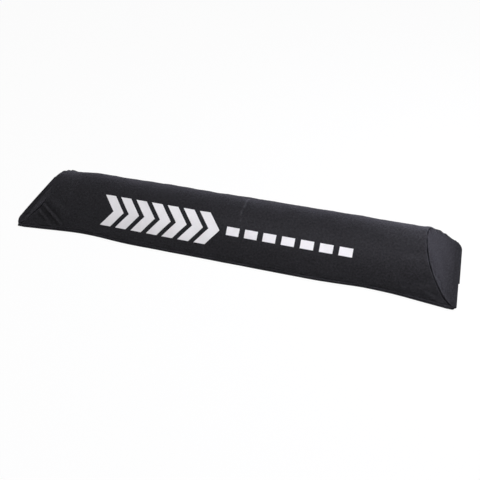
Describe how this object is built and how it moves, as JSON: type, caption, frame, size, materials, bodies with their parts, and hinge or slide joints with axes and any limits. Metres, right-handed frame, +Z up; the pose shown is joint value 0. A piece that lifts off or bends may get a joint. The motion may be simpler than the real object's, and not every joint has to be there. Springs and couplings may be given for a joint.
{
  "type": "roof rack pad",
  "caption": "Long foam roof rack pad with a domed top, slanted ends and a sewn cloth cover whose flaps close round a crossbar with hook and loop tape.",
  "frame": {"origin": "on the floor under the middle of the pad, at the bottom centre of its bounding box", "axes": "+X along the pad towards the end panel that the picture shows in full, -Y towards the printed front, +Z up from the flaps to the crown"},
  "size_m": [0.719, 0.1516, 0.0653],
  "materials": {
    "cover_cloth": "plain woven polyester, charcoal black, matt with a faint cool sheen",
    "flap_cloth": "the same cloth, two layers with a turned hem",
    "closure_tape": "black nylon hook and loop tape",
    "foam": "dark grey closed-cell foam",
    "print": "off-white screen print, matt, with the weave showing through"
  },
  "bodies": {
    "root": {"foam_core": "foam", "main_panel": "cover_cloth", "end_panel_left": "cover_cloth", "end_panel_right": "cover_cloth", "base_panel": "cover_cloth", "front_flap": "flap_cloth", "back_flap": "flap_cloth", "hook_tape": "closure_tape", "loop_tape": "closure_tape", "print_chevron_1": "print", "print_chevron_2": "print", "print_chevron_3": "print", "print_chevron_4": "print", "print_chevron_5": "print", "print_chevron_6": "print", "print_chevron_7": "print", "print_dash_1": "print", "print_dash_2": "print", "print_dash_3": "print", "print_dash_4": "print", "print_dash_5": "print", "print_dash_6": "print", "print_dash_7": "print"}
  },
  "joints": []
}
